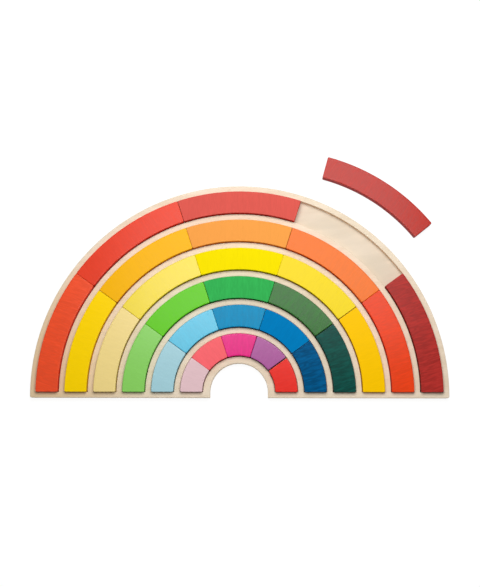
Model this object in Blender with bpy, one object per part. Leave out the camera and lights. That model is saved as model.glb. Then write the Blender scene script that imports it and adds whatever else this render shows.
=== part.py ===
"""Rainbow tray puzzle: a wooden tray with six arched channels, and thirty stained blocks that lie in them.

Lengths are metres and +Z is up. The tray lies on its underside at Z = 0, with its straight edge towards -Y.
The origin is the middle of the tray's footprint. All the arches share one centre, on the line where the
channels end, and an empty there carries every piece. One block of the outermost channel lies beside the tray,
so its place in the channel is empty.
"""

import math

import bmesh
import bpy
from mathutils import Vector

# Tray
DOORWAY_RADIUS = 0.025
INNER_RIM_WIDTH = 0.006
CHANNEL_WIDTH = 0.020
RIDGE_WIDTH = 0.005
OUTER_RIM_WIDTH = 0.005
RAIL_WIDTH = 0.0048
BASE_THICKNESS = 0.004
CHANNEL_DEPTH = 0.005
TRAY_CORNER_RADIUS = 0.0015
TRAY_EDGE_CHAMFER = 0.0005
GLUE_LINE = 0.0003

# Blocks
BLOCK_HEIGHT = 0.0095
BLOCK_EDGE_CHAMFER = 0.0005
SIDE_CLEARANCE = 0.0005
END_CLEARANCE = 0.0004
SEAT_GAP = 0.0003

# The block of the outermost channel that lies on the table, and how far and which way it was moved
LOOSE_STAIN = "terracotta"
LOOSE_GAP = 0.0249
LOOSE_DIRECTION = math.radians(50.3)
LOOSE_TURN = math.radians(2.6)

# Facets: the farthest that a chord may lie from its arc, the distance at which two places are the same, and
# the angle past which an edge is sharp
CHORD_ERROR = 0.0001
SAME_PLACE = 0.00001
SHARP_ANGLE = math.radians(30.0)

# Finishes, as linear colours
BIRCH = (0.79, 0.67, 0.51)
BIRCH_ROUGHNESS = 0.6
STAIN_ROUGHNESS = 0.45

# Channels from the smallest arch outwards, with the stains of their blocks from left to right
CHANNELS = {
    "pink": {
        "shell": (0.80, 0.56, 0.59),
        "salmon": (0.98, 0.14, 0.16),
        "magenta": (0.84, 0.04, 0.26),
        "orchid": (0.45, 0.14, 0.36),
        "scarlet": (0.86, 0.04, 0.03),
    },
    "blue": {
        "ice": (0.39, 0.65, 0.72),
        "sky": (0.16, 0.59, 0.81),
        "azure": (0.03, 0.29, 0.53),
        "cobalt": (0.005, 0.20, 0.50),
        "navy": (0.005, 0.09, 0.24),
    },
    "green": {
        "apple": (0.26, 0.64, 0.13),
        "lime": (0.15, 0.61, 0.03),
        "emerald": (0.03, 0.44, 0.09),
        "moss": (0.06, 0.18, 0.05),
        "pine": (0.005, 0.07, 0.05),
    },
    "yellow": {
        "cream": (0.88, 0.69, 0.26),
        "primrose": (0.93, 0.74, 0.10),
        "lemon": (0.93, 0.76, 0.005),
        "canary": (0.93, 0.71, 0.01),
        "amber": (0.98, 0.59, 0.005),
    },
    "orange": {
        "gold": (0.97, 0.65, 0.005),
        "saffron": (0.93, 0.47, 0.01),
        "apricot": (0.89, 0.34, 0.06),
        "tangerine": (0.89, 0.19, 0.03),
        "vermilion": (0.84, 0.06, 0.01),
    },
    "red": {
        "poppy": (0.81, 0.07, 0.02),
        "tomato": (0.75, 0.04, 0.01),
        "coral": (0.67, 0.09, 0.07),
        "terracotta": (0.46, 0.03, 0.02),
        "crimson": (0.42, 0.02, 0.02),
    },
}

# Sizes that follow from those above
CHANNEL_PITCH = CHANNEL_WIDTH + RIDGE_WIDTH
CHANNEL_START = DOORWAY_RADIUS + INNER_RIM_WIDTH
OUTER_RIM_START = CHANNEL_START + len(CHANNELS) * CHANNEL_PITCH - RIDGE_WIDTH
TRAY_RADIUS = OUTER_RIM_START + OUTER_RIM_WIDTH
FRAME_BOTTOM = BASE_THICKNESS + GLUE_LINE
FRAME_TOP = FRAME_BOTTOM + CHANNEL_DEPTH
SEAT_LEVEL = BASE_THICKNESS + SEAT_GAP
ARCH_CENTRE_Y = (RAIL_WIDTH - TRAY_RADIUS) / 2


def clear_scene():
    """Remove whatever the file holds."""
    for obj in list(bpy.data.objects):
        bpy.data.objects.remove(obj, do_unlink=True)


def make_material(name, colour, roughness):
    """A plain Principled finish."""
    material = bpy.data.materials.new(name)
    material.use_nodes = True
    shader = material.node_tree.nodes["Principled BSDF"]
    shader.inputs["Base Color"].default_value = (*colour, 1.0)
    shader.inputs["Roughness"].default_value = roughness
    shader.inputs["Metallic"].default_value = 0.0
    return material


def arc_points(radius, start, stop, centre=(0.0, 0.0)):
    """Points of an arc from one angle to another, both ends included."""
    step = 2 * math.acos(1 - CHORD_ERROR / radius)
    count = math.ceil(abs(stop - start) / step)
    angles = [start + (stop - start) * i / count for i in range(count + 1)]
    return [Vector((centre[0] + radius * math.cos(a), centre[1] + radius * math.sin(a))) for a in angles]


def finish_mesh(bm, name):
    """Turn a bmesh into a mesh that is smooth on its round faces and sharp on its edges."""
    bmesh.ops.recalc_face_normals(bm, faces=bm.faces)
    mesh = bpy.data.meshes.new(name)
    bm.to_mesh(mesh)
    bm.free()
    mesh.shade_smooth()
    mesh.set_sharp_from_angle(angle=SHARP_ANGLE)
    return mesh


def extrude_outline(outline, bottom, top):
    """A bmesh of a level outline carried straight up from one height to another."""
    bm = bmesh.new()
    corners = [bm.verts.new((point.x, point.y, bottom)) for point in outline]
    floor = bm.faces.new(corners)
    grown = bmesh.ops.extrude_face_region(bm, geom=[floor])
    lifted = [item for item in grown["geom"] if isinstance(item, bmesh.types.BMVert)]
    bmesh.ops.translate(bm, verts=lifted, vec=(0.0, 0.0, top - bottom))
    bmesh.ops.recalc_face_normals(bm, faces=bm.faces)
    return bm


def edges_at_height(bm, height):
    """Edges that lie level at one height."""
    return [e for e in bm.edges if all(abs(v.co.z - height) < SAME_PLACE for v in e.verts)]


def chamfer(bm, edges, width):
    """Break sharp edges with one flat."""
    bmesh.ops.bevel(bm, geom=edges, offset=width, segments=1, profile=0.5, affect="EDGES", clamp_overlap=True)


def corner_points(x_side):
    """The rounded outer corner of the tray on one side, from the upright edge down to the straight edge."""
    radius = min(TRAY_CORNER_RADIUS, RAIL_WIDTH)
    centre = (x_side * (TRAY_RADIUS - radius), radius - RAIL_WIDTH)
    upright = 0.0 if x_side > 0 else math.pi
    return arc_points(radius, upright, -math.pi / 2 if x_side > 0 else 1.5 * math.pi, centre)


def base_mesh():
    """The board under the channels: a half disc with legs down to the straight edge and an arched doorway."""
    outline = arc_points(TRAY_RADIUS, 0.0, math.pi)
    outline += corner_points(-1.0)
    outline.append(Vector((-DOORWAY_RADIUS, -RAIL_WIDTH)))
    outline += arc_points(DOORWAY_RADIUS, math.pi, 0.0)
    outline.append(Vector((DOORWAY_RADIUS, -RAIL_WIDTH)))
    outline += reversed(corner_points(1.0))
    bm = extrude_outline(outline, 0.0, BASE_THICKNESS)
    chamfer(bm, edges_at_height(bm, 0.0), TRAY_EDGE_CHAMFER)
    return finish_mesh(bm, "base_board")


def arch_mesh(name, inner, width):
    """A strip bent into a half circle, with its feet just clear of the rails and its top edges broken."""
    outer = inner + width
    lean = math.asin(GLUE_LINE / inner)
    sweep = math.pi - 2 * lean
    profile = [(inner, FRAME_BOTTOM), (outer, FRAME_BOTTOM), (outer, FRAME_TOP), (inner, FRAME_TOP)]
    bm = bmesh.new()
    corners = [bm.verts.new((r * math.cos(lean), r * math.sin(lean), z)) for r, z in profile]
    foot = bm.faces.new(corners)
    steps = len(arc_points(outer, 0.0, sweep)) - 1
    bmesh.ops.spin(
        bm, geom=[foot, *foot.edges, *foot.verts], cent=(0, 0, 0), axis=(0, 0, 1), angle=sweep, steps=steps
    )
    bmesh.ops.recalc_face_normals(bm, faces=bm.faces)
    long_edges = [e for e in edges_at_height(bm, FRAME_TOP) if abs(edge_radius_change(e)) < width / 2]
    chamfer(bm, long_edges, TRAY_EDGE_CHAMFER)
    return finish_mesh(bm, name)


def edge_radius_change(edge):
    """How much farther from the arch centre one end of an edge lies than the other."""
    first, second = edge.verts
    return first.co.xy.length - second.co.xy.length


def rail_mesh(name, x_side):
    """The straight strip across the channel ends on one side of the doorway."""
    outline = [Vector((x_side * DOORWAY_RADIUS, 0.0)), Vector((x_side * TRAY_RADIUS, 0.0))]
    outline += corner_points(x_side)
    outline.append(Vector((x_side * DOORWAY_RADIUS, -RAIL_WIDTH)))
    bm = extrude_outline(outline, FRAME_BOTTOM, FRAME_TOP)
    seam = [e for e in bm.edges if all(abs(v.co.y) < SAME_PLACE for v in e.verts)]
    chamfer(bm, [e for e in edges_at_height(bm, FRAME_TOP) if e not in seam], TRAY_EDGE_CHAMFER)
    return finish_mesh(bm, name)


def block_radii(channel):
    """Inner and outer radius of the blocks in one channel, counted from the smallest arch."""
    wall = CHANNEL_START + channel * CHANNEL_PITCH
    return wall + SIDE_CLEARANCE, wall + CHANNEL_WIDTH - SIDE_CLEARANCE


def block_mesh(name, channel, sweep):
    """A sector of a ring with flat ends and broken edges, pointing along +Y, with its origin underneath."""
    inner, outer = block_radii(channel)
    middle = Vector((0.0, (inner + outer) / 2))
    upright = math.pi / 2
    inner_half = sweep / 2 - math.asin(END_CLEARANCE / 2 / inner)
    outer_half = sweep / 2 - math.asin(END_CLEARANCE / 2 / outer)
    outline = arc_points(outer, upright - outer_half, upright + outer_half)
    outline += arc_points(inner, upright + inner_half, upright - inner_half)
    bm = extrude_outline([point - middle for point in outline], 0.0, BLOCK_HEIGHT)
    sharp = [edge for edge in bm.edges if edge.calc_face_angle() > SHARP_ANGLE]
    chamfer(bm, sharp, BLOCK_EDGE_CHAMFER)
    return finish_mesh(bm, name)


def place_object(name, mesh, material, centre, location=(0.0, 0.0, 0.0), turn=0.0):
    """Put a mesh into the scene under the arch centre, with its own finish."""
    obj = bpy.data.objects.new(name, mesh)
    bpy.context.collection.objects.link(obj)
    obj.parent = centre
    obj.location = location
    obj.rotation_euler = (0.0, 0.0, turn)
    if not mesh.materials:
        mesh.materials.append(material)
    obj.material_slots[0].link = "OBJECT"
    obj.material_slots[0].material = material
    return obj


def add_arch_centre():
    """The empty that every piece hangs from."""
    centre = bpy.data.objects.new("arch_centre", None)
    bpy.context.collection.objects.link(centre)
    centre.location = (0.0, ARCH_CENTRE_Y, 0.0)
    return centre


def add_tray(centre):
    """The glued tray: base board, seven arched strips and the two rails across the channel ends."""
    birch = make_material("birch", BIRCH, BIRCH_ROUGHNESS)
    place_object("base_board", base_mesh(), birch, centre)
    place_object("inner_rim", arch_mesh("inner_rim", DOORWAY_RADIUS, INNER_RIM_WIDTH), birch, centre)
    for gap in range(1, len(CHANNELS)):
        name = f"ridge_{gap}"
        inner = CHANNEL_START + gap * CHANNEL_PITCH - RIDGE_WIDTH
        place_object(name, arch_mesh(name, inner, RIDGE_WIDTH), birch, centre)
    place_object("outer_rim", arch_mesh("outer_rim", OUTER_RIM_START, OUTER_RIM_WIDTH), birch, centre)
    place_object("rail_left", rail_mesh("rail_left", -1.0), birch, centre)
    place_object("rail_right", rail_mesh("rail_right", 1.0), birch, centre)


def add_blocks(centre):
    """Five blocks for each channel, one of which lies on the table beside the tray."""
    shift = LOOSE_GAP + OUTER_RIM_WIDTH + CHANNEL_WIDTH - SIDE_CLEARANCE
    for channel, (channel_name, stains) in enumerate(CHANNELS.items()):
        sweep = math.pi / len(stains)
        mesh = block_mesh(f"{channel_name}_block", channel, sweep)
        middle = sum(block_radii(channel)) / 2
        for place, (stain, colour) in enumerate(stains.items(), start=1):
            loose = stain == LOOSE_STAIN
            angle = math.pi - (place - 0.5) * sweep + (LOOSE_TURN if loose else 0.0)
            x = middle * math.cos(angle) + (shift * math.cos(LOOSE_DIRECTION) if loose else 0.0)
            y = middle * math.sin(angle) + (shift * math.sin(LOOSE_DIRECTION) if loose else 0.0)
            z = 0.0 if loose else SEAT_LEVEL
            finish = make_material(stain, colour, STAIN_ROUGHNESS)
            name = f"{channel_name}_block_{place}"
            place_object(name, mesh, finish, centre, (x, y, z), angle - math.pi / 2)


def main():
    """Model the tray and its blocks."""
    clear_scene()
    centre = add_arch_centre()
    add_tray(centre)
    add_blocks(centre)


if __name__ == "__main__":
    main()
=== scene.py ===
"""Rainbow tray puzzle, dressed for the studio.

A pale wooden tray with six arched channels, thirty stained arc blocks that lie in them, one of them taken
out and laid on the table, and a plain studio round it. Lengths are metres, in the CAD frame.
"""

import logging
import math
from dataclasses import dataclass, field, replace
from enum import Enum

import bpy
import numpy as np
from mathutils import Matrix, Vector


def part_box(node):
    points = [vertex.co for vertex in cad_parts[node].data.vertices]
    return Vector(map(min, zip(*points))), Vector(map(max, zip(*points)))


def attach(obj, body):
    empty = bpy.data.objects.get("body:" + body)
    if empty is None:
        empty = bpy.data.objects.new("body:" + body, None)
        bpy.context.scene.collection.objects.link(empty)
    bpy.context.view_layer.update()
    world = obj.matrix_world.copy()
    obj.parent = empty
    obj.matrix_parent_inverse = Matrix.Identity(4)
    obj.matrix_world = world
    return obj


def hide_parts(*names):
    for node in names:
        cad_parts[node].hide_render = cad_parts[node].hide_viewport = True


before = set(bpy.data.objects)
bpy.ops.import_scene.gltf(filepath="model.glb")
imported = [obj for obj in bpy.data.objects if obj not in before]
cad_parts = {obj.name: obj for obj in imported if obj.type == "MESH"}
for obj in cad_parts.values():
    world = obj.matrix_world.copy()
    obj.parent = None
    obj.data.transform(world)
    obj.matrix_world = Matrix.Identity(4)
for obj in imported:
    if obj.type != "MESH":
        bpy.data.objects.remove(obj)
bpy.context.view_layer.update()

LOG = logging.getLogger("rainbow_tray_puzzle")
IMAGE_SIZE = (480, 587)
HALF_TURN = math.pi
QUARTER_TURN = math.pi / 2
SHARP_ANGLE = math.radians(35.0)
FIRST_TURN = math.radians(6.0)
POINT_DIGITS = 6
BLOCKS_PER_ARCH = 5
WHITE = (1.0, 1.0, 1.0, 1.0)

Array = np.ndarray
Socket = bpy.types.NodeSocket
Pair = tuple[float, float]
Triple = tuple[float, float, float]
Colour = tuple[float, float, float]
Rgba = tuple[float, float, float, float]

# Share up a plain wall at which its outline has a point
WALL_MIDDLE = np.array([0.5])


class Arch(Enum):
    """The six arches of blocks, from the doorway outwards."""

    PINK = "pink"
    BLUE = "blue"
    GREEN = "green"
    YELLOW = "yellow"
    ORANGE = "orange"
    RED = "red"


class Hand(Enum):
    """Which side of the doorway a rail lies on, as the sign of its X."""

    LEFT = -1
    RIGHT = 1


class Edge(Enum):
    """The four long edges of a strip, in the order in which its outline passes them."""

    LOW_BOTTOM = 0
    HIGH_BOTTOM = 1
    HIGH_TOP = 2
    LOW_TOP = 3

    @property
    def corner(self) -> Array:
        """The edge's place across and up the outline, each nought or one, as a column."""
        is_high = self in (Edge.HIGH_BOTTOM, Edge.HIGH_TOP)
        return np.array([[is_high], [self in (Edge.HIGH_TOP, Edge.LOW_TOP)]], dtype=float)

    @property
    def following(self) -> "Edge":
        """The next edge round the outline."""
        return Edge((self.value + 1) % len(Edge))

    @property
    def starts_wall(self) -> bool:
        """Whether the side after the edge is a wall, and not the top or the bottom."""
        return self in (Edge.HIGH_BOTTOM, Edge.LOW_TOP)


class Sheen(Enum):
    """How much of the light a stain throws back, as the shader's specular level."""

    DULL = 0.005
    SOFT = 0.02
    SATIN = 0.06
    BRIGHT = 0.12
    GLOSSY = 0.16
    POLISHED = 0.25


class Figure(Enum):
    """How clearly the wood's figure shows through a stain, as a share of its colour."""

    FAINT = 0.015
    PLAIN = 0.035
    CLEAR = 0.07
    STRONG = 0.18
    WILD = 0.28


class Fit(Enum):
    """How closely two neighbouring blocks stand, as the gap between their ends."""

    TIGHT = 0.00005
    CLOSE = 0.00015
    EASY = 0.00028
    WIDE = 0.00055
    OPEN = 0.001


class Step(Enum):
    """One step of arithmetic on two values, under the shader's own name for it."""

    PLUS = "ADD"
    MINUS = "SUBTRACT"
    TIMES = "MULTIPLY"
    OVER = "DIVIDE"
    REMAINDER = "MODULO"
    WHOLE = "FLOOR"
    FOLD = "PINGPONG"
    LARGER = "MAXIMUM"


class Mixed(Enum):
    """What is mixed, under the shader's own name, with the numbers of its two inputs and of its output."""

    VALUES = ("FLOAT", 2, 3, 0)
    COLOURS = ("RGBA", 6, 7, 2)


def node_points(name: str) -> Array:
    """Read the corner points of a CAD node.

    Args:
        name: The node's name.

    Returns:
        Its different points, one row each.
    """
    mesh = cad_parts[name].data
    flat = np.empty(len(mesh.vertices) * 3, dtype=np.float32)
    mesh.vertices.foreach_get("co", flat)
    return np.unique(np.round(flat.reshape(-1, 3).astype(float), POINT_DIGITS), axis=0)


def plan_radii(points: Array, centre: Array) -> Array:
    """Distances in plan from a centre."""
    return np.hypot(points[:, 0] - centre[0], points[:, 1] - centre[1])


def on_arc(centre: Array, radius: Array, angle: Array, height: Array) -> Array:
    """Place points about an upright axis: X is r cos a and Y is r sin a, from the centre.

    Args:
        centre: The axis in plan.
        radius: Distance of each point from it, stations by outline points.
        angle: Direction of each point, or of each station, as a column.
        height: Level of each point.

    Returns:
        Stations by outline points by three coordinates.
    """
    x = centre[0] + radius * np.cos(angle)
    y = centre[1] + radius * np.sin(angle)
    return np.stack([x, y, height], axis=-1)


def round_insets(radius: float, first_turn: float, count: int) -> Array:
    """Distances from an end at even turns round its corner: at the turn a the distance is r(1 - cos a)."""
    return radius * (1.0 - np.cos(np.linspace(first_turn, QUARTER_TURN, count)))


def corner_cut(inset: Array, radius: float) -> Array:
    """How far a round corner stands back from the square one, at a distance from the corner's end.

    At the distance e from the end of a corner of radius r the cut is r - sqrt(r squared - (r - e) squared).

    Args:
        inset: Distances from the end.
        radius: The corner's radius.

    Returns:
        The cut at each distance, nought past the corner.
    """
    short = np.clip(radius - inset, 0.0, None)
    return radius - np.sqrt(radius**2 - short**2)


def end_reach(inset: Array, radius: float) -> Array:
    """Share of the edge radius that is left at a distance from an end that is rounded by the same radius."""
    short = np.clip(1.0 - inset / radius, 0.0, 1.0)
    return np.sqrt(1.0 - short**2)


@dataclass(frozen=True)
class Outline:
    """Closed outline across a strip.

    A point lies at a share across and a share up a core rectangle, and is pushed out from the core by the
    edge radius along its own direction. At a rounded edge the directions fan out through a quarter turn.
    inset holds one for each side, low, high, bottom and top, that the core stands back from, and nought for
    the others.
    """

    across: Array
    up: Array
    push_across: Array
    push_up: Array
    is_wall: Array
    inset: tuple[float, float, float, float]
    edge_gain: float = 4.0

    @classmethod
    def rounded(cls, edges: set[Edge], fan_steps: int, top_shares: Array, wall_shares: Array) -> "Outline":
        """Lay out the loop: low bottom, high bottom, high top and low top edge, with points along the sides.

        Args:
            edges: The edges that are rounded. The others stay sharp.
            fan_steps: Steps in the quarter turn of a rounded edge.
            top_shares: Shares at which the top and the bottom have points between their edges.
            wall_shares: Shares at which the walls have points between their edges.

        Returns:
            The outline.
        """
        low = float(bool(edges & {Edge.LOW_BOTTOM, Edge.LOW_TOP}))
        high = float(bool(edges & {Edge.HIGH_BOTTOM, Edge.HIGH_TOP}))
        bottom = float(bool(edges & {Edge.LOW_BOTTOM, Edge.HIGH_BOTTOM}))
        top = float(bool(edges & {Edge.LOW_TOP, Edge.HIGH_TOP}))
        side_push = {
            Edge.LOW_BOTTOM: [[0.0], [-bottom]],
            Edge.HIGH_BOTTOM: [[high], [0.0]],
            Edge.HIGH_TOP: [[0.0], [top]],
            Edge.LOW_TOP: [[-low], [0.0]],
        }
        columns: list[Array] = []
        for edge in Edge:
            here = edge.corner
            if edge in edges:
                turn = HALF_TURN + (edge.value + np.linspace(0.0, 1.0, fan_steps + 1)) * QUARTER_TURN
                push = np.stack([np.cos(turn), np.sin(turn)])
            else:
                push = np.where(here > 0.0, [[high], [top]], [[-low], [-bottom]])
            wall = np.zeros(push.shape[1])
            wall[-1] = edge.starts_wall
            columns.append(np.vstack([np.repeat(here, len(wall), axis=1), push, wall]))
            shares = wall_shares if edge.starts_wall else top_shares
            run = here + (edge.following.corner - here) * shares
            side = np.repeat(side_push[edge], len(shares), axis=1)
            columns.append(np.vstack([run, side, np.full(len(shares), edge.starts_wall)]))
        return cls(*np.hstack(columns), (low, high, bottom, top))

    def place(
        self, low: Array, high: Array, bottom: float, top: float, radius: float, reach: Array
    ) -> tuple[Array, Array]:
        """Lay the outline at every station of a path.

        Args:
            low: The strip's low side at each station, as a column.
            high: Its high side at each station, as a column.
            bottom: The level of its underside.
            top: The level of its top.
            radius: The edge radius.
            reach: Share of the edge radius that the outline is pushed out by at each station, as a column.

        Returns:
            The place across and the height of each outline point at each station.
        """
        core_low = low + radius * self.inset[0]
        core_high = high - radius * self.inset[1]
        core_bottom = bottom + radius * self.inset[2]
        core_top = top - radius * self.inset[3]
        across = core_low + (core_high - core_low) * self.across + radius * reach * self.push_across
        height = core_bottom + (core_top - core_bottom) * self.up + radius * reach * self.push_up
        return across, height

    def rounding(self) -> Array:
        """One over most of a rounded edge, falling to nought on the flats."""
        return np.minimum(1.0, self.edge_gain * np.abs(self.push_across * self.push_up))


@dataclass(frozen=True)
class Stations:
    """Places along a path from its first end to its last.

    side runs from -1 to 1, inset is the distance from the nearer end plane, and reach is the share of the
    edge radius that is left there.
    """

    side: Array
    inset: Array
    reach: Array
    full_reach: float = 0.999

    @classmethod
    def rounded(cls, edge: float, corner: float, near: float, end_steps: int, steps: int) -> "Stations":
        """Stations with both ends rounded by the edge radius, close together over the corners.

        Args:
            edge: The edge radius.
            corner: Radius of the upright corners at the ends, the edge radius or more.
            near: Distance from a corner to the first station of the plain run.
            end_steps: Stations on each end.
            steps: Steps along the plain run.

        Returns:
            The stations.
        """
        end_inset = np.append(round_insets(corner, FIRST_TURN, end_steps), corner + near)
        run = np.linspace(-1.0, 1.0, steps + 1)[1:-1]
        side = np.concatenate([-np.ones_like(end_inset), run, np.ones_like(end_inset)])
        inset = np.concatenate([end_inset, np.full_like(run, corner + near), end_inset[::-1]])
        return cls(side[:, None], inset[:, None], end_reach(inset, edge)[:, None])

    def rounding(self) -> Array:
        """One at the stations on a rounded end, and nought along the run."""
        return (self.reach < self.full_reach).astype(float)


def tube_piece(name: str, points: Array, rounding: Array, is_wall: Array) -> bpy.types.Object:
    """Make a closed piece from a grid of points: rings joined by quads, with one flat face on each end.

    Args:
        name: The piece's name.
        points: Stations by outline points by three coordinates.
        rounding: How far each point lies on a rounded edge, from nought to one.
        is_wall: How far each outline point lies on a wall, from nought to one.

    Returns:
        The piece's object, at the origin, with its place in its mesh.
    """
    stations, loop, _ = points.shape
    index = np.arange(stations * loop).reshape(stations, loop)
    onward = np.roll(index, -1, axis=1)
    quads = np.stack([index[:-1], onward[:-1], onward[1:], index[1:]], axis=-1).reshape(-1, 4)
    caps = np.stack([index[0, ::-1], index[-1]])
    # The signed volume under the quads is negative where they look inwards
    first, second, third, fourth = points.reshape(-1, 3)[quads.T]
    volume = np.einsum("ij,ij->", first, np.cross(second, third) + np.cross(third, fourth))
    if volume < 0:
        quads = quads[:, ::-1]
        caps = caps[:, ::-1]
    mesh = bpy.data.meshes.new(name)
    mesh.vertices.add(stations * loop)
    mesh.vertices.foreach_set("co", points.reshape(-1).astype(np.float32))
    mesh.loops.add(quads.size + caps.size)
    mesh.loops.foreach_set("vertex_index", np.concatenate([quads.ravel(), caps.ravel()]).astype(np.int32))
    mesh.polygons.add(len(quads) + len(caps))
    starts = np.concatenate([np.arange(len(quads)) * 4, quads.size + np.arange(len(caps)) * loop])
    mesh.polygons.foreach_set("loop_start", starts.astype(np.int32))
    mesh.update(calc_edges=True)
    mesh.validate()
    worn = mesh.attributes.new("edge", "FLOAT", "POINT")
    worn.data.foreach_set("value", np.broadcast_to(rounding, (stations, loop)).astype(np.float32).ravel())
    wall = mesh.attributes.new("wall", "FLOAT", "CORNER")
    quad_wall = np.repeat(np.broadcast_to(is_wall, (stations - 1, loop)).ravel(), 4)
    wall.data.foreach_set("value", np.concatenate([quad_wall, np.ones(caps.size)]).astype(np.float32))
    mesh.shade_smooth()
    mesh.set_sharp_from_angle(angle=SHARP_ANGLE)
    piece = bpy.data.objects.new(name, mesh)
    bpy.context.scene.collection.objects.link(piece)
    return piece


def hand_over(
    piece: bpy.types.Object, material: bpy.types.Material, body: str, node: str, slot: str
) -> None:
    """Dress a piece, give it its body, hide the CAD node that it stands for, and log its slot.

    Args:
        piece: The finished piece.
        material: Its finish.
        body: The CAD body that it rides on.
        node: The CAD node that it stands for.
        slot: The record's slot for its finish.
    """
    piece.data.materials.append(material)
    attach(piece, body)
    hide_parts(node)
    LOG.info("%s: %d faces, rides %s, slot %s", piece.name, len(piece.data.polygons), body, slot)


@dataclass(frozen=True)
class Noise:
    """Soft noise: waves to the metre each way, finer layers, their weight, and how far it bends itself."""

    stretch: Triple
    detail: float
    rough: float
    swirl: float = 0.0


@dataclass(frozen=True)
class Ramp:
    """A smooth change of a value: first up to the start, last from the stop on."""

    start: float
    stop: float
    first: float = 0.0
    last: float = 1.0


@dataclass(frozen=True)
class Relief:
    """How deep the grain lies, and how strongly it shades."""

    depth: float
    strength: float


class FinishSheet:
    """Lays out the nodes of one procedural material, or of the room's light."""

    def __init__(self, owner: bpy.types.Material | bpy.types.World) -> None:
        """Start with no nodes.

        Args:
            owner: The new material or world that the nodes are for.
        """
        owner.use_nodes = True
        self.owner = owner
        self.tree = owner.node_tree
        self.tree.nodes.clear()

    def add(self, kind: str, inputs: dict[str | int, object], **options: object) -> bpy.types.Node:
        """Add a node, set its options, and fill or link its sockets.

        Args:
            kind: The node's kind, without its common beginning.
            inputs: A value or another node's output for each named or numbered socket.
            **options: The node's own settings.

        Returns:
            The node.
        """
        node = self.tree.nodes.new("ShaderNode" + kind)
        for option, value in options.items():
            setattr(node, option, value)
        for socket, value in inputs.items():
            if isinstance(value, Socket):
                self.tree.links.new(value, node.inputs[socket])
            else:
                node.inputs[socket].default_value = value
        return node

    def grain_space(self, centre: Triple, turn: float) -> Socket:
        """Object coordinates about a centre, turned so that X runs along the grain.

        Args:
            centre: The point that the pattern is centred on.
            turn: The grain's direction in plan.

        Returns:
            The coordinates.
        """
        place = self.add("TexCoord", {}).outputs["Object"]
        settings = {"Vector": place, "Location": centre, "Rotation": (0.0, 0.0, turn)}
        return self.add("Mapping", settings, vector_type="TEXTURE").outputs["Vector"]

    def noise(self, space: Socket, layer: Noise) -> Socket:
        """Soft noise, drawn out by a different amount along each direction.

        Args:
            space: The coordinates.
            layer: The noise's settings.

        Returns:
            The noise, about one half on average.
        """
        scaled = self.add("VectorMath", {0: space, 1: layer.stretch}, operation="MULTIPLY").outputs["Vector"]
        finer = {"Detail": layer.detail, "Roughness": layer.rough, "Distortion": layer.swirl}
        settings = {"Vector": scaled, "Scale": 1.0, **finer}
        return self.add("TexNoise", settings, noise_dimensions="3D").outputs["Fac"]

    def spread(self, value: Socket, ramp: Ramp) -> Socket:
        """Carry a value smoothly from one range to another, held at both ends.

        Args:
            value: The value.
            ramp: The two ranges.

        Returns:
            The new value.
        """
        ends = {"From Min": ramp.start, "From Max": ramp.stop, "To Min": ramp.first, "To Max": ramp.last}
        settings = {"Value": value, **ends}
        return self.add("MapRange", settings, interpolation_type="SMOOTHSTEP", clamp=True).outputs["Result"]

    def reckon(self, step: Step, first: object, second: object) -> Socket:
        """One step of arithmetic on two values."""
        return self.add("Math", {0: first, 1: second}, operation=step.value).outputs["Value"]

    def mix(self, kind: Mixed, share: object, first: object, second: object) -> Socket:
        """Mix two things of one kind by a share of the second.

        Args:
            kind: Whether they are values or colours.
            share: The share of the second.
            first: The first thing.
            second: The second thing.

        Returns:
            The mixture.
        """
        data_type, first_input, second_input, output = kind.value
        inputs = {0: share, first_input: first, second_input: second}
        return self.add("Mix", inputs, data_type=data_type).outputs[output]

    def blend(self, share: object, first: object, second: object) -> Socket:
        """Mix two colours by a share of the second."""
        return self.mix(Mixed.COLOURS, share, first, second)

    def attribute(self, name: str) -> Socket:
        """Read a value that the mesh carries."""
        return self.add("Attribute", {}, attribute_name=name, attribute_type="GEOMETRY").outputs["Fac"]

    def wood(
        self, colour: Socket, rough: Socket, height: Socket, relief: Relief, gloss: float
    ) -> bpy.types.Material:
        """Close the material with a wood surface.

        Args:
            colour: The surface colour.
            rough: The roughness.
            height: The grain's height, from nought to one.
            relief: How deep it lies and how strongly it shades.
            gloss: The shader's specular level.

        Returns:
            The material.
        """
        shading = {"Height": height, "Strength": relief.strength, "Distance": relief.depth}
        bump = self.add("Bump", shading).outputs["Normal"]
        settings = {"Base Color": colour, "Roughness": rough, "Normal": bump, "Specular IOR Level": gloss}
        shader = self.add("BsdfPrincipled", settings).outputs["BSDF"]
        self.add("OutputMaterial", {"Surface": shader})
        return self.owner


@dataclass(frozen=True)
class LaidGrain:
    """What a grain gives a finish: its fibres, its clouds, its streaks, and its tone from nought to one."""

    fibre: Socket
    cloud: Socket
    streak: Socket
    tone: Socket


@dataclass(frozen=True)
class Grain:
    """The layers of a grain, the share of each in its tone, and the range that the tone is drawn from."""

    figure: Noise
    fibre: Noise
    cloud: Noise
    figure_share: float
    fibre_share: float
    cloud_share: float
    tone: Ramp

    def lay(self, sheet: FinishSheet, space: Socket) -> LaidGrain:
        """Lay the layers out, and add them up by their shares.

        Args:
            sheet: The material's nodes.
            space: The grain coordinates.

        Returns:
            What the finish needs of them.
        """
        fibre = sheet.noise(space, self.fibre)
        cloud = sheet.noise(space, self.cloud)
        bands = sheet.reckon(Step.TIMES, sheet.noise(space, self.figure), self.figure_share)
        streak = sheet.reckon(Step.PLUS, bands, sheet.reckon(Step.TIMES, fibre, self.fibre_share))
        whole = sheet.reckon(Step.PLUS, streak, sheet.reckon(Step.TIMES, cloud, self.cloud_share))
        return LaidGrain(fibre, cloud, streak, sheet.spread(whole, self.tone))


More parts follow.
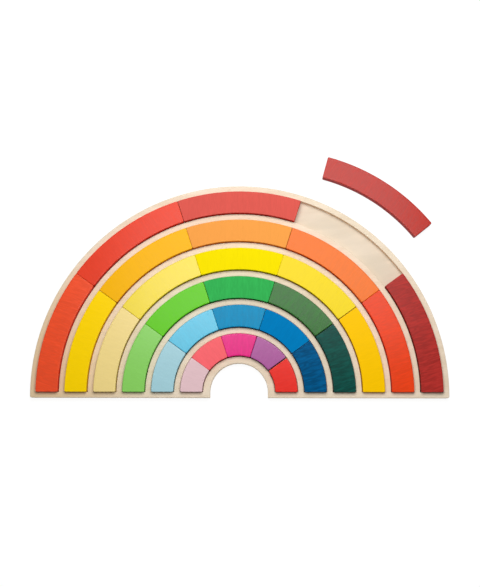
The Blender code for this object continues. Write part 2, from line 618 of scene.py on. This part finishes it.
BIRCH_GRAIN = Grain(
    figure=Noise((8.0, 150.0, 150.0), 4.0, 0.55, 0.5),
    fibre=Noise((55.0, 1500.0, 1500.0), 3.0, 0.6),
    cloud=Noise((22.0, 22.0, 22.0), 2.0, 0.5),
    figure_share=0.5,
    fibre_share=0.3,
    cloud_share=0.2,
    tone=Ramp(0.36, 0.64),
)

# The board's grain is broader, with fainter fibres
BOARD_GRAIN = replace(
    BIRCH_GRAIN,
    figure=replace(BIRCH_GRAIN.figure, stretch=(14.0, 75.0, 75.0)),
    figure_share=0.65,
    fibre_share=0.12,
    cloud_share=0.23,
)

BLOCK_GRAIN = Grain(
    figure=Noise((80.0, 480.0, 480.0), 3.0, 0.5, 1.2),
    fibre=Noise((120.0, 1300.0, 1300.0), 3.0, 0.6),
    cloud=Noise((60.0, 90.0, 90.0), 2.0, 0.5),
    figure_share=0.64,
    fibre_share=0.20,
    cloud_share=0.16,
    tone=Ramp(0.38, 0.62),
)


def toned(colour: Colour, level: float = 1.0) -> Rgba:
    """A colour as it is, or made deeper or paler by a factor, held under one."""
    red, green, blue = (min(1.0, part * level) for part in colour)
    return red, green, blue, 1.0


def soaked(colour: Colour, coats: float) -> Rgba:
    """A stain's colour under more than one coat, each part raised to the number of coats."""
    red, green, blue = (part**coats for part in colour)
    return red, green, blue, 1.0


def between(first: Colour, second: Colour, share: float) -> Rgba:
    """A colour on the way from one to another."""
    red, green, blue = (a + (b - a) * share for a, b in zip(first, second))
    return red, green, blue, 1.0


@dataclass(frozen=True)
class BirchFinish:
    """Clear pale birch: long soft figure, fine fibres and short flecks, with layers of ply on its walls
    whose colours also carry painted bounce light.
    """

    name: str
    grain_turn: float
    grain: Grain = BIRCH_GRAIN
    pale: Colour = (0.825, 0.705, 0.555)
    deep: Colour = (0.74, 0.615, 0.455)
    amber: Colour = (0.72, 0.555, 0.34)
    amber_way: Triple = (-0.90, -0.45, 0.0)
    amber_ramp: Ramp = Ramp(0.08, 0.19, 0.0, 0.9)
    fleck: Colour = (0.56, 0.41, 0.27)
    fleck_noise: Noise = Noise((210.0, 2600.0, 2600.0), 1.0, 0.5)
    fleck_ramp: Ramp = Ramp(0.64, 0.76, 0.0, 0.55)
    fleck_depth: float = 0.8
    # The sawn wall and end-grain colours below are lighter and warmer than the top's: the ply's own edges,
    # plus painted light that stands in for light bounced onto the shaded walls
    lit_sawn_pale: Colour = (0.92, 0.73, 0.51)
    lit_sawn_deep: Colour = (0.86, 0.65, 0.43)
    lit_end_grain: Colour = (0.86, 0.63, 0.38)
    end_grain_level: float = 0.95
    speck_noise: Noise = Noise((2400.0, 2400.0, 2400.0), 2.0, 0.6)
    speck_ramp: Ramp = Ramp(0.35, 0.65)
    layer_height: float = 0.00133
    wander_noise: Noise = Noise((120.0, 120.0, 60.0), 2.0, 0.5)
    wander_depth: float = 0.00025
    glue: Colour = (0.66, 0.46, 0.26)
    glue_ramp: Ramp = Ramp(0.0, 0.09, 0.4, 0.0)
    wear_ramp: Ramp = Ramp(0.35, 0.65, 0.1, 0.45)
    worn_level: float = 1.06
    rough_ramp: Ramp = Ramp(0.25, 0.65, 0.38, 0.54)
    relief: Relief = Relief(0.00008, 0.35)
    gloss: float = 0.07

    def material(self) -> bpy.types.Material:
        """Lay out the finish.

        Returns:
            The material.
        """
        sheet = FinishSheet(bpy.data.materials.new(self.name))
        space = sheet.grain_space((0.0, 0.0, 0.0), self.grain_turn)
        laid = self.grain.lay(sheet, space)
        colour = sheet.blend(laid.tone, toned(self.pale), toned(self.deep))
        towards = {0: space, 1: self.amber_way}
        way = sheet.add("VectorMath", towards, operation="DOT_PRODUCT").outputs["Value"]
        colour = sheet.blend(sheet.spread(way, self.amber_ramp), colour, toned(self.amber))
        fleck = sheet.spread(sheet.noise(space, self.fleck_noise), self.fleck_ramp)
        colour = sheet.blend(fleck, colour, toned(self.fleck))
        colour = sheet.blend(sheet.attribute("wall"), colour, self.layers(sheet, space, laid.tone))
        wear = sheet.reckon(Step.TIMES, sheet.attribute("edge"), sheet.spread(laid.cloud, self.wear_ramp))
        colour = sheet.blend(wear, colour, toned(self.pale, self.worn_level))
        rough = sheet.spread(sheet.reckon(Step.PLUS, laid.streak, fleck), self.rough_ramp)
        height = sheet.reckon(Step.MINUS, laid.fibre, sheet.reckon(Step.TIMES, fleck, self.fleck_depth))
        return sheet.wood(colour, rough, height, self.relief, self.gloss)

    def layers(self, sheet: FinishSheet, space: Socket, tone: Socket) -> Socket:
        """The ply on the walls: layers along and across the grain by turns, thin glue lines between, all
        lightened as painted bounce light.

        Args:
            sheet: The material's nodes.
            space: The grain coordinates.
            tone: The slow change from pale to deep.

        Returns:
            The colour of the walls, with its painted bounce light.
        """
        kinds_of_layer = 2.0
        half_layer = 0.5
        upright = sheet.add("SeparateXYZ", {"Vector": space}).outputs["Z"]
        wander = sheet.reckon(Step.TIMES, sheet.noise(space, self.wander_noise), self.wander_depth)
        level = sheet.reckon(Step.OVER, sheet.reckon(Step.PLUS, upright, wander), self.layer_height)
        turn = sheet.reckon(Step.REMAINDER, sheet.reckon(Step.WHOLE, level, 0.0), kinds_of_layer)
        speck = sheet.spread(sheet.noise(space, self.speck_noise), self.speck_ramp)
        across = sheet.blend(speck, toned(self.lit_end_grain), toned(self.lit_sawn_deep, self.end_grain_level))
        along = sheet.blend(tone, toned(self.lit_sawn_pale), toned(self.lit_sawn_deep))
        line = sheet.spread(sheet.reckon(Step.FOLD, level, half_layer), self.glue_ramp)
        return sheet.blend(line, sheet.blend(turn, along, across), toned(self.glue))


@dataclass(frozen=True)
class StainFinish:
    """See-through stain on a solid block: figure, fibres and pores show through, and its walls are sawn."""

    name: str
    colour: Colour
    sheen: Sheen
    figure: Figure
    grain: Grain = BLOCK_GRAIN
    pore_noise: Noise = Noise((150.0, 2800.0, 2800.0), 1.0, 0.5)
    pore_ramp: Ramp = Ramp(0.64, 0.76, 0.0, 0.35)
    pore_level: float = 0.72
    bare_wood: Colour = (0.80, 0.62, 0.43)
    worn_to: float = 0.25
    rub_noise: Noise = Noise((420.0, 420.0, 420.0), 2.0, 0.6)
    rub_ramp: Ramp = Ramp(0.42, 0.66, 0.0, 0.2)
    wall_coats: Pair = (1.2, 1.45)
    top_rough: Ramp = Ramp(0.30, 0.78, 0.22, 0.34)
    wall_rough: Ramp = Ramp(0.0, 1.0, 0.6, 0.7)
    relief: Relief = Relief(0.00005, 0.18)

    def material(self, centre: Triple, turn: float) -> bpy.types.Material:
        """Lay out the finish for one block.

        Args:
            centre: The block's centre.
            turn: The direction of its grain in plan.

        Returns:
            The material.
        """
        sheet = FinishSheet(bpy.data.materials.new(self.name))
        space = sheet.grain_space(centre, turn)
        laid = self.grain.lay(sheet, space)
        deep = toned(self.colour, 1.0 - self.figure.value)
        pale = toned(self.colour, 1.0 + self.figure.value)
        colour = sheet.blend(laid.tone, deep, pale)
        pore = sheet.spread(sheet.noise(space, self.pore_noise), self.pore_ramp)
        colour = sheet.blend(pore, colour, toned(self.colour, self.pore_level))
        rub = sheet.spread(sheet.noise(space, self.rub_noise), self.rub_ramp)
        wear = sheet.reckon(Step.TIMES, sheet.attribute("edge"), rub)
        colour = sheet.blend(wear, colour, between(self.colour, self.bare_wood, self.worn_to))
        wall = sheet.attribute("wall")
        thin, thick = (soaked(self.colour, coats) for coats in self.wall_coats)
        colour = sheet.blend(wall, colour, sheet.blend(laid.tone, thick, thin))
        satin = sheet.spread(sheet.reckon(Step.PLUS, laid.streak, pore), self.top_rough)
        sawn = sheet.spread(laid.tone, self.wall_rough)
        rough = sheet.mix(Mixed.VALUES, wall, satin, sawn)
        height = sheet.reckon(Step.MINUS, laid.fibre, pore)
        return sheet.wood(colour, rough, height, self.relief, self.sheen.value)


# Stains of each arch from left to right, as linear colours
STAINS: dict[Arch, tuple[StainFinish, ...]] = {
    Arch.PINK: (
        StainFinish("shell", (0.76, 0.53, 0.56), Sheen.DULL, Figure.FAINT),
        StainFinish("salmon", (0.92, 0.13, 0.15), Sheen.SATIN, Figure.PLAIN),
        StainFinish("magenta", (0.75, 0.01, 0.21), Sheen.GLOSSY, Figure.CLEAR),
        StainFinish("orchid", (0.36, 0.07, 0.28), Sheen.POLISHED, Figure.PLAIN),
        StainFinish("scarlet", (0.78, 0.02, 0.01), Sheen.GLOSSY, Figure.PLAIN),
    ),
    Arch.BLUE: (
        StainFinish("ice", (0.34, 0.59, 0.66), Sheen.POLISHED, Figure.FAINT),
        StainFinish("sky", (0.09, 0.50, 0.70), Sheen.POLISHED, Figure.PLAIN),
        StainFinish("azure", (0.00, 0.25, 0.48), Sheen.SATIN, Figure.CLEAR),
        StainFinish("cobalt", (0.00, 0.19, 0.47), Sheen.DULL, Figure.PLAIN),
        StainFinish("navy", (0.00, 0.085, 0.225), Sheen.SOFT, Figure.WILD),
    ),
    Arch.GREEN: (
        StainFinish("apple", (0.22, 0.59, 0.095), Sheen.POLISHED, Figure.FAINT),
        StainFinish("lime", (0.11, 0.55, 0.00), Sheen.BRIGHT, Figure.FAINT),
        StainFinish("emerald", (0.035, 0.415, 0.085), Sheen.DULL, Figure.CLEAR),
        StainFinish("moss", (0.01, 0.125, 0.005), Sheen.GLOSSY, Figure.STRONG),
        StainFinish("pine", (0.00, 0.065, 0.05), Sheen.SATIN, Figure.WILD),
    ),
    Arch.YELLOW: (
        StainFinish("cream", (0.85, 0.66, 0.24), Sheen.POLISHED, Figure.FAINT),
        StainFinish("primrose", (0.81, 0.63, 0.02), Sheen.POLISHED, Figure.FAINT),
        StainFinish("lemon", (0.865, 0.705, 0.00), Sheen.DULL, Figure.FAINT),
        StainFinish("canary", (0.86, 0.65, 0.01), Sheen.SATIN, Figure.FAINT),
        StainFinish("amber", (0.955, 0.55, 0.00), Sheen.SOFT, Figure.FAINT),
    ),
    Arch.ORANGE: (
        StainFinish("gold", (0.965, 0.645, 0.00), Sheen.SATIN, Figure.FAINT),
        StainFinish("saffron", (0.885, 0.44, 0.00), Sheen.SATIN, Figure.FAINT),
        StainFinish("apricot", (0.845, 0.33, 0.065), Sheen.DULL, Figure.FAINT),
        StainFinish("tangerine", (0.81, 0.155, 0.005), Sheen.BRIGHT, Figure.PLAIN),
        StainFinish("vermilion", (0.785, 0.045, 0.00), Sheen.BRIGHT, Figure.CLEAR),
    ),
    Arch.RED: (
        StainFinish("poppy", (0.815, 0.065, 0.01), Sheen.POLISHED, Figure.CLEAR),
        StainFinish("tomato", (0.74, 0.045, 0.015), Sheen.BRIGHT, Figure.PLAIN),
        StainFinish("coral", (0.65, 0.095, 0.075), Sheen.DULL, Figure.PLAIN),
        StainFinish("terracotta", (0.425, 0.01, 0.00), Sheen.GLOSSY, Figure.CLEAR),
        StainFinish("crimson", (0.395, 0.025, 0.02), Sheen.SATIN, Figure.STRONG),
    ),
}


# Fits at the four joints of each arch from left to right
JOINTS: dict[Arch, tuple[Fit, ...]] = {
    Arch.PINK: (Fit.TIGHT, Fit.CLOSE, Fit.EASY, Fit.OPEN),
    Arch.BLUE: (Fit.EASY, Fit.CLOSE, Fit.EASY, Fit.EASY),
    Arch.GREEN: (Fit.CLOSE, Fit.EASY, Fit.CLOSE, Fit.WIDE),
    Arch.YELLOW: (Fit.CLOSE, Fit.TIGHT, Fit.TIGHT, Fit.WIDE),
    Arch.ORANGE: (Fit.EASY, Fit.CLOSE, Fit.EASY, Fit.CLOSE),
    Arch.RED: (Fit.CLOSE, Fit.EASY, Fit.EASY, Fit.EASY),
}


@dataclass
class Tray:
    """The glued tray: a board, the arched strips on it, and a straight rail across each foot of the arches.

    A span and a count of points say where an outline has points across a top.
    """

    strip_finish: BirchFinish = BirchFinish("birch", math.radians(4.0))
    board_finish: BirchFinish = BirchFinish(
        "birch_floor",
        math.radians(12.0),
        grain=BOARD_GRAIN,
        pale=(0.74, 0.635, 0.505),
        deep=(0.675, 0.58, 0.455),
        fleck_ramp=Ramp(0.64, 0.76, 0.0, 0.15),
    )
    edge_radius: float = 0.0005
    corner_radius: float = 0.0015
    foot_turn: float = math.radians(8.0)
    foot_points: int = 7
    corner_points: int = 14
    rail_points: int = 24
    strip_span: Pair = (0.15, 0.85)
    strip_points: int = 4
    board_span: Pair = (0.02, 0.98)
    board_points: int = 25
    arc_steps: int = 180
    fan_steps: int = 4
    body: str = "tray"
    slot: str = "birch"
    strips: tuple[str, ...] = (
        "inner_rim",
        "ridge_1",
        "ridge_2",
        "ridge_3",
        "ridge_4",
        "ridge_5",
        "outer_rim",
    )
    centre: Array = field(init=False)
    board_top: float = field(init=False)

    def __post_init__(self) -> None:
        """Measure the arches' centre and the board's top on the CAD nodes."""
        board_low, board_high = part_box("base_board")
        self.centre = np.array([(board_low.x + board_high.x) / 2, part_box("rail_left")[1].y])
        self.board_top = board_high.z

    def build(self) -> None:
        """Build and dress every piece of the tray."""
        wood = self.strip_finish.material()
        hand_over(self.board(), self.board_finish.material(), self.body, "base_board", self.slot)
        for name in self.strips:
            hand_over(self.strip(name), wood, self.body, name, self.slot)
        for name, hand in (("rail_left", Hand.LEFT), ("rail_right", Hand.RIGHT)):
            hand_over(self.rail(name, hand), wood, self.body, name, self.slot)

    def strip_outline(self, edges: set[Edge]) -> Outline:
        """The outline of a strip or a rail, with some of its edges rounded."""
        shares = np.linspace(*self.strip_span, self.strip_points)
        return Outline.rounded(edges, self.fan_steps, shares, WALL_MIDDLE)

    def strip(self, name: str) -> bpy.types.Object:
        """Build an arched strip: its outline carried through half a turn from foot to foot, on the board.

        Args:
            name: The strip's CAD node.

        Returns:
            The piece.
        """
        radii = plan_radii(node_points(name), self.centre)
        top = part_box(name)[1].z
        outline = self.strip_outline({Edge.HIGH_TOP, Edge.LOW_TOP})
        angle = np.linspace(HALF_TURN, 0.0, self.arc_steps + 1)[:, None]
        low = np.full_like(angle, radii.min())
        high = np.full_like(angle, radii.max())
        reach = np.ones_like(angle)
        radius, height = outline.place(low, high, self.board_top, top, self.edge_radius, reach)
        points = on_arc(self.centre, radius, angle, height)
        return tube_piece(name, points, outline.rounding(), outline.is_wall)

    def rail(self, name: str, hand: Hand) -> bpy.types.Object:
        """Build a straight rail from the doorway to the tray's round corner, square where arches meet it.

        Its outline is carried along X. Near the tray's corner the front wall draws in by that corner's cut.

        Args:
            name: The rail's CAD node.
            hand: Its side of the doorway.

        Returns:
            The piece.
        """
        rail_low, rail_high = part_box(name)
        outline = self.strip_outline({Edge.LOW_TOP})
        inner, outer = sorted((abs(rail_low.x), abs(rail_high.x)))
        foot = round_insets(self.edge_radius, self.foot_turn, self.foot_points)
        corner = round_insets(self.corner_radius, FIRST_TURN, self.corner_points)
        run = np.linspace(inner + 2 * self.edge_radius, outer - 2 * self.corner_radius, self.rail_points)
        place = np.concatenate([inner + foot, run, outer - corner[::-1]])[:, None]
        low = rail_low.y + corner_cut(outer - place, self.corner_radius)
        high = np.full_like(place, rail_high.y)
        reach = end_reach(np.minimum(place - inner, outer - place), self.edge_radius)
        y, height = outline.place(low, high, self.board_top, rail_high.z, self.edge_radius, reach)
        x = np.broadcast_to(hand.value * place, y.shape)
        return tube_piece(name, np.stack([x, y, height], axis=-1), outline.rounding(), outline.is_wall)

    def board(self) -> bpy.types.Object:
        """Build the board: one wide outline carried up a short leg, through half a turn and down the other.

        On a leg a point lies below the foot of the arch by what is left of the leg. Near the end of a leg
        the outer wall draws in by the cut of the tray's corner.

        Returns:
            The piece.
        """
        radii = plan_radii(node_points("inner_rim"), self.centre)
        board_low, board_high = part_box("base_board")
        leg = self.centre[1] - board_low.y
        outer = (board_high.x - board_low.x) / 2
        shares = np.linspace(*self.board_span, self.board_points)
        outline = Outline.rounded({Edge.LOW_BOTTOM, Edge.HIGH_BOTTOM}, self.fan_steps, shares, WALL_MIDDLE)
        corner = round_insets(self.corner_radius, FIRST_TURN, self.corner_points)
        rise = np.append(corner, (leg + self.corner_radius) / 2)
        turn = np.linspace(HALF_TURN, 0.0, self.arc_steps + 1)
        inset = np.concatenate([rise, np.full_like(turn, leg), rise[::-1]])[:, None]
        angle = np.concatenate([np.full_like(rise, HALF_TURN), turn, np.zeros_like(rise)])[:, None]
        low = np.full_like(inset, radii.min())
        high = outer - corner_cut(inset, self.corner_radius)
        reach = end_reach(inset, self.edge_radius)
        radius, height = outline.place(low, high, board_low.z, board_high.z, self.edge_radius, reach)
        points = on_arc(self.centre, radius, angle, height)
        points[..., 1] -= leg - inset
        return tube_piece("base_board", points, outline.rounding(), outline.is_wall)


@dataclass
class Block:
    """One arc block: a rounded outline carried along an arc between two radial ends."""

    name: str
    stain: StainFinish
    centre: Array
    middle: float
    before: Fit
    after: Fit
    edge_radius: float = 0.0004
    corner_radius: float = 0.001
    near_edge: float = 0.0008
    half_span: float = HALF_TURN / BLOCKS_PER_ARCH / 2
    top_span: Pair = (0.15, 0.85)
    top_points: int = 6
    fan_steps: int = 5
    end_steps: int = 8
    arc_steps: int = 28

    def build(self) -> None:
        """Build the block on its CAD node's sizes and dress it."""
        low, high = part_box(self.name)
        radii = plan_radii(node_points(self.name), self.centre)
        inner, outer = radii.min(), radii.max()
        middle_radius = (inner + outer) / 2
        core = (
            float(self.centre[0] + middle_radius * math.cos(self.middle)),
            float(self.centre[1] + middle_radius * math.sin(self.middle)),
            (low.z + high.z) / 2,
        )
        piece = self.surface(inner, outer, low.z, high.z)
        hand_over(piece, self.stain.material(core, self.middle), self.name, self.name, self.stain.name)

    def surface(self, inner: float, outer: float, bottom: float, top: float) -> bpy.types.Object:
        """Carry the outline along the arc.

        A point at radius r and at inset e from an end lies at the angle h - asin((g + e) / r) from the
        middle, where h is half the block's span and g half the gap at that end. That keeps both ends flat.
        Near an end the walls draw in by the cut of the upright corners.

        Args:
            inner: Radius of the inner wall.
            outer: Radius of the outer wall.
            bottom: Level of the underside.
            top: Level of the top.

        Returns:
            The piece.
        """
        near_top = self.near_edge / (outer - inner)
        near_wall = self.near_edge / (top - bottom)
        plain_shares = np.linspace(*self.top_span, self.top_points)
        top_shares = np.concatenate([[near_top], plain_shares, [1.0 - near_top]])
        wall_shares = np.concatenate([[near_wall], WALL_MIDDLE, [1.0 - near_wall]])
        outline = Outline.rounded(set(Edge), self.fan_steps, top_shares, wall_shares)
        ends = (self.edge_radius, self.corner_radius, self.near_edge)
        stations = Stations.rounded(*ends, self.end_steps, self.arc_steps)
        cut = corner_cut(stations.inset, self.corner_radius)
        sides = (inner + cut, outer - cut, bottom, top)
        radius, height = outline.place(*sides, self.edge_radius, stations.reach)
        half_gap = np.where(stations.side < 0.0, self.before.value, self.after.value) / 2
        off_middle = self.half_span - np.arcsin((half_gap + stations.inset) / radius)
        points = on_arc(self.centre, radius, self.middle - stations.side * off_middle, height)
        rounding = np.maximum(outline.rounding(), stations.rounding())
        return tube_piece(self.name, points, rounding, outline.is_wall)


@dataclass
class BlockSet:
    """All thirty blocks: five to an arch, from left to right, with one of them lying loose on the table."""

    tray_centre: Array
    rail_gap: Fit = Fit.EASY
    loose: str = "red_block_4"
    like_loose: str = "red_block_3"

    def build(self) -> None:
        """Build and dress every block."""
        for arch in Arch:
            fits = (self.rail_gap, *JOINTS[arch], self.rail_gap)
            for number, stain in enumerate(STAINS[arch], start=1):
                name = f"{arch.value}_block_{number}"
                if name == self.loose:
                    centre, middle = self.loose_place()
                else:
                    centre = self.tray_centre
                    middle = HALF_TURN - (number - 0.5) * HALF_TURN / BLOCKS_PER_ARCH
                Block(name, stain, centre, middle, fits[number - 1], fits[number]).build()

    def loose_place(self) -> tuple[Array, float]:
        """Find the arc centre and the direction of the loose block from its CAD points.

        The narrow direction of its points in plan is its radial direction, and its points' mean lies as far
        from its arc centre as that of the next block of the same arch does from the tray's.

        Returns:
            The arc centre, and the angle of the block's middle.
        """
        points = node_points(self.loose)[:, :2]
        mean = points.mean(axis=0)
        _, _, directions = np.linalg.svd(points - mean, full_matrices=False)
        outward = directions[1] * np.sign(directions[1] @ (mean - self.tray_centre))
        reach = np.linalg.norm(node_points(self.like_loose)[:, :2].mean(axis=0) - self.tray_centre)
        return mean - reach * outward, math.atan2(outward[1], outward[0])


@dataclass
class Studio:
    """Pale floor, even light with a soft lamp beyond the crown of the arch, and the photograph's camera."""

    floor_size: float = 6.0
    floor_lines: int = 3
    floor_drop: float = 0.0002
    floor_colour: Colour = (0.80, 0.79, 0.78)
    floor_glow: float = 0.93
    floor_shade: Colour = (0.14, 0.14, 0.14)
    ambient: float = 0.20
    key_place: Triple = (0.04, 0.20, 0.58)
    key_aim: Triple = (0.04, 0.20, 0.0)
    key_size: Pair = (0.4, 0.4)
    key_power: float = 4.0
    camera_place: Triple = (0.0213, -0.12148, 1.0044)
    camera_turn: Triple = (math.radians(6.828), math.radians(1.181), math.radians(0.122))
    focal_pixels: float = 1150.0
    sensor: float = 36.0

    def build(self) -> None:
        """Set up the floor, the light and the camera."""
        bpy.context.scene.view_settings.view_transform = "Standard"
        self.lay_floor()
        self.light_room()
        self.hang_key()
        self.set_camera()

    def seen(self, sheet: FinishSheet) -> Socket:
        """One for rays that show the background: straight from the camera, or by gloss or glass.

        Args:
            sheet: The nodes of the floor or of the room's light.

        Returns:
            One for those rays, and nought for the others.
        """
        path = sheet.add("LightPath", {}).outputs
        shown = sheet.reckon(Step.LARGER, path["Is Camera Ray"], path["Is Glossy Ray"])
        return sheet.reckon(Step.LARGER, shown, path["Is Transmission Ray"])

    def lay_floor(self) -> None:
        """Lay the floor: a wide flat grid that shows white and still takes the object's shadow."""
        side = np.linspace(-self.floor_size / 2, self.floor_size / 2, self.floor_lines)
        x, y = np.meshgrid(side, side)
        points = np.stack([x, y, np.full_like(x, -self.floor_drop)], axis=-1).reshape(-1, 3)
        index = np.arange(x.size).reshape(x.shape)
        corners = (index[:-1, :-1], index[:-1, 1:], index[1:, 1:], index[1:, :-1])
        quads = np.stack(corners, axis=-1).reshape(-1, 4)
        mesh = bpy.data.meshes.new("floor")
        mesh.from_pydata(points.tolist(), [], quads.tolist())
        floor = bpy.data.objects.new("floor", mesh)
        bpy.context.scene.collection.objects.link(floor)
        sheet = FinishSheet(bpy.data.materials.new("floor_paper"))
        plain = sheet.add("BsdfDiffuse", {"Color": toned(self.floor_colour)}).outputs["BSDF"]
        glow = sheet.add("Emission", {"Color": WHITE, "Strength": self.floor_glow}).outputs["Emission"]
        shade = sheet.add("BsdfDiffuse", {"Color": toned(self.floor_shade)}).outputs["BSDF"]
        lit = sheet.add("AddShader", {0: glow, 1: shade}).outputs["Shader"]
        surface = sheet.add("MixShader", {0: self.seen(sheet), 1: plain, 2: lit}).outputs["Shader"]
        sheet.add("OutputMaterial", {"Surface": surface})
        mesh.materials.append(sheet.owner)
        LOG.info("floor: %.1f m wide", self.floor_size)

    def light_room(self) -> None:
        """Fill the room with even light, and show it white."""
        sheet = FinishSheet(bpy.data.worlds.new("room"))
        light = sheet.add("Background", {"Color": WHITE, "Strength": self.ambient}).outputs["Background"]
        white = sheet.add("Background", {"Color": WHITE, "Strength": 1.0}).outputs["Background"]
        surface = sheet.add("MixShader", {0: self.seen(sheet), 1: light, 2: white}).outputs["Shader"]
        sheet.add("OutputWorld", {"Surface": surface})
        bpy.context.scene.world = sheet.owner
        LOG.info("room: light of strength %.2f", self.ambient)

    def hang_key(self) -> None:
        """Hang the soft lamp over the table, beyond the crown, facing down."""
        lamp = bpy.data.lights.new("key", "AREA")
        lamp.shape = "RECTANGLE"
        lamp.size, lamp.size_y = self.key_size
        lamp.energy = self.key_power
        key = bpy.data.objects.new("key", lamp)
        bpy.context.scene.collection.objects.link(key)
        key.location = self.key_place
        key.visible_camera = False
        aim = Vector(self.key_aim) - Vector(self.key_place)
        key.rotation_euler = aim.to_track_quat("-Z", "Y").to_euler()
        LOG.info("key: %.2f by %.2f m, %.1f W", *self.key_size, self.key_power)

    def set_camera(self) -> None:
        """Set up the camera, whose sensor's width stands for the photograph's longer side in pixels."""
        data = bpy.data.cameras.new("camera")
        data.sensor_width = self.sensor
        data.lens = self.focal_pixels * self.sensor / max(IMAGE_SIZE)
        camera = bpy.data.objects.new("camera", data)
        bpy.context.scene.collection.objects.link(camera)
        camera.location = self.camera_place
        camera.rotation_mode = "ZXY"
        camera.rotation_euler = self.camera_turn
        bpy.context.scene.camera = camera
        LOG.info("camera: %.2f mm lens", data.lens)


def main() -> None:
    """Build the studio, the tray and the blocks, in that order."""
    logging.basicConfig(level=logging.INFO, format="%(message)s")
    Studio().build()
    tray = Tray()
    tray.build()
    BlockSet(tray.centre).build()


if __name__ == "__main__":
    main()
